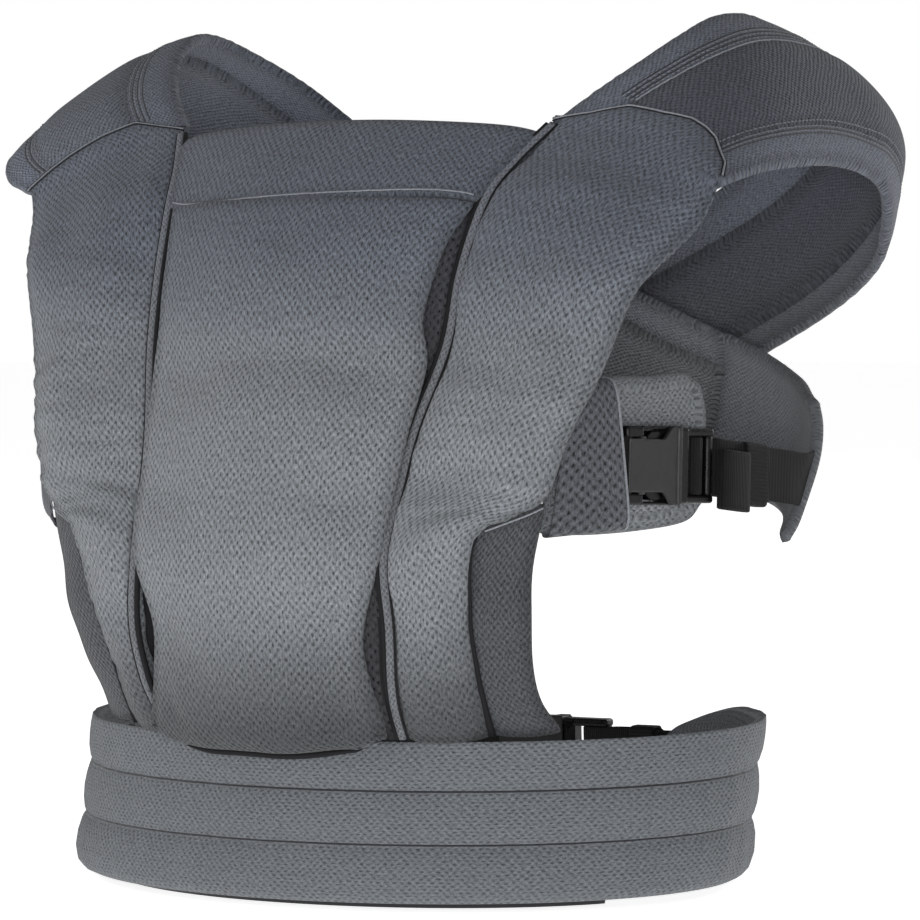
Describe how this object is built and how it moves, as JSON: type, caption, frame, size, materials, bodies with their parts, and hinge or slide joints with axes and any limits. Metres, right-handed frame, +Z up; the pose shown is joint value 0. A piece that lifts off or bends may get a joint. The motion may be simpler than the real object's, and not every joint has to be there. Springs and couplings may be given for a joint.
{
  "type": "soft baby carrier",
  "caption": "Soft baby carrier with padded waistband, crowned front panel, foam cross-back straps, fold-down head support and side-release buckles.",
  "frame": {"origin": "centre of the waist opening, level with the lower edge of the waistband", "axes": "+Z up along the wearer's body, -Y to the front where the baby sits, +X to the wearer's left"},
  "size_m": [0.4198, 0.3623, 0.4059],
  "materials": {
    "mesh_fabric": "soft knitted air mesh, slate grey",
    "dark_mesh": "darker knitted mesh",
    "binding": "folded binding and piping",
    "buckle_plastic": "moulded black acetal",
    "elastic": "ribbed elastic",
    "webbing": "woven webbing"
  },
  "bodies": {
    "carrier": {"waistband": "mesh_fabric", "waist_pad": "binding", "front_panel": "mesh_fabric", "panel_liner": "dark_mesh", "wing_left": "mesh_fabric", "wing_right": "mesh_fabric", "piping_left": "binding", "piping_right": "binding", "gusset_left": "dark_mesh", "gusset_right": "dark_mesh", "strap_foam_left": "dark_mesh", "strap_foam_right": "dark_mesh", "strap_inner_edge_left": "mesh_fabric", "strap_inner_edge_right": "mesh_fabric", "strap_outer_edge_left": "mesh_fabric", "strap_outer_edge_right": "mesh_fabric", "strap_end_left": "mesh_fabric", "strap_end_right": "mesh_fabric", "side_pad_left": "mesh_fabric", "side_pad_right": "mesh_fabric", "cover_band_left": "mesh_fabric", "cover_band_right": "mesh_fabric", "side_anchor_left": "webbing", "side_anchor_right": "webbing", "anchor_strip_left": "webbing", "anchor_strip_right": "webbing", "side_socket_left": "buckle_plastic", "side_socket_right": "buckle_plastic", "strap_webbing_left": "webbing", "strap_webbing_right": "webbing", "waist_anchor": "webbing", "waist_tab_left": "webbing", "waist_tab_right": "webbing", "waist_socket": "buckle_plastic"},
    "head_support": {"head_support": "mesh_fabric", "support_edge": "binding"},
    "side_plug_left": {"side_plug_left": "buckle_plastic", "side_loop_left": "webbing", "side_tail_left": "webbing"},
    "side_prong_upper_left": {"side_prong_upper_left": "buckle_plastic"},
    "side_prong_lower_left": {"side_prong_lower_left": "buckle_plastic"},
    "side_keeper_left": {"side_keeper_left": "elastic"},
    "side_plug_right": {"side_plug_right": "buckle_plastic", "side_loop_right": "webbing", "side_tail_right": "webbing"},
    "side_prong_upper_right": {"side_prong_upper_right": "buckle_plastic"},
    "side_prong_lower_right": {"side_prong_lower_right": "buckle_plastic"},
    "side_keeper_right": {"side_keeper_right": "elastic"},
    "waist_plug": {"waist_plug": "buckle_plastic", "waist_loop": "webbing", "waist_tail": "webbing"},
    "waist_prong_upper": {"waist_prong_upper": "buckle_plastic"},
    "waist_prong_lower": {"waist_prong_lower": "buckle_plastic"},
    "waist_keeper": {"waist_keeper": "elastic"}
  },
  "joints": [
    {"name": "head_support_fold", "type": "hinge", "parent": "carrier", "child": "head_support", "pos_m": [0, -0.1015, 0.319], "axis": [1, 0, 0], "range_deg": [0, 125]},
    {"name": "side_plug_slide_left", "type": "slide", "parent": "carrier", "child": "side_plug_left", "axis": [0.1698, 0.9837, -0.0599], "range_m": [0, 0.02]},
    {"name": "side_prong_upper_left", "type": "hinge", "parent": "side_plug_left", "child": "side_prong_upper_left", "pos_m": [0.16341, -0.03438, 0.20525], "axis": [0.9854, -0.1701, 0], "range_deg": [0, 10], "stiffness_Nm_per_rad": 0.3},
    {"name": "side_prong_lower_left", "type": "hinge", "parent": "side_plug_left", "child": "side_prong_lower_left", "pos_m": [0.16322, -0.03544, 0.18729], "axis": [-0.9854, 0.1701, 0], "range_deg": [0, 10], "stiffness_Nm_per_rad": 0.3},
    {"name": "side_keeper_slide_left", "type": "slide", "parent": "side_plug_left", "child": "side_keeper_left", "axis": [0.1698, 0.9837, -0.0599], "range_m": [0, 0.006]},
    {"name": "side_plug_slide_right", "type": "slide", "parent": "carrier", "child": "side_plug_right", "axis": [-0.1698, 0.9837, -0.0599], "range_m": [0, 0.02]},
    {"name": "side_prong_upper_right", "type": "hinge", "parent": "side_plug_right", "child": "side_prong_upper_right", "pos_m": [-0.16341, -0.03438, 0.20525], "axis": [0.9854, 0.1701, 0], "range_deg": [0, 10], "stiffness_Nm_per_rad": 0.3},
    {"name": "side_prong_lower_right", "type": "hinge", "parent": "side_plug_right", "child": "side_prong_lower_right", "pos_m": [-0.16322, -0.03544, 0.18729], "axis": [-0.9854, -0.1701, 0], "range_deg": [0, 10], "stiffness_Nm_per_rad": 0.3},
    {"name": "side_keeper_slide_right", "type": "slide", "parent": "side_plug_right", "child": "side_keeper_right", "axis": [-0.1698, 0.9837, -0.0599], "range_m": [0, 0.006]},
    {"name": "waist_plug_slide", "type": "slide", "parent": "carrier", "child": "waist_plug", "axis": [1, 0, 0], "range_m": [0, 0.02]},
    {"name": "waist_prong_upper", "type": "hinge", "parent": "waist_plug", "child": "waist_prong_upper", "pos_m": [0.0062, 0.127, 0.0525], "axis": [0, -1, 0], "range_deg": [0, 10], "stiffness_Nm_per_rad": 0.3},
    {"name": "waist_prong_lower", "type": "hinge", "parent": "waist_plug", "child": "waist_prong_lower", "pos_m": [0.0062, 0.127, 0.0215], "axis": [0, 1, 0], "range_deg": [0, 10], "stiffness_Nm_per_rad": 0.3},
    {"name": "waist_keeper_slide", "type": "slide", "parent": "waist_plug", "child": "waist_keeper", "axis": [1, 0, 0], "range_m": [0, 0.005]}
  ]
}
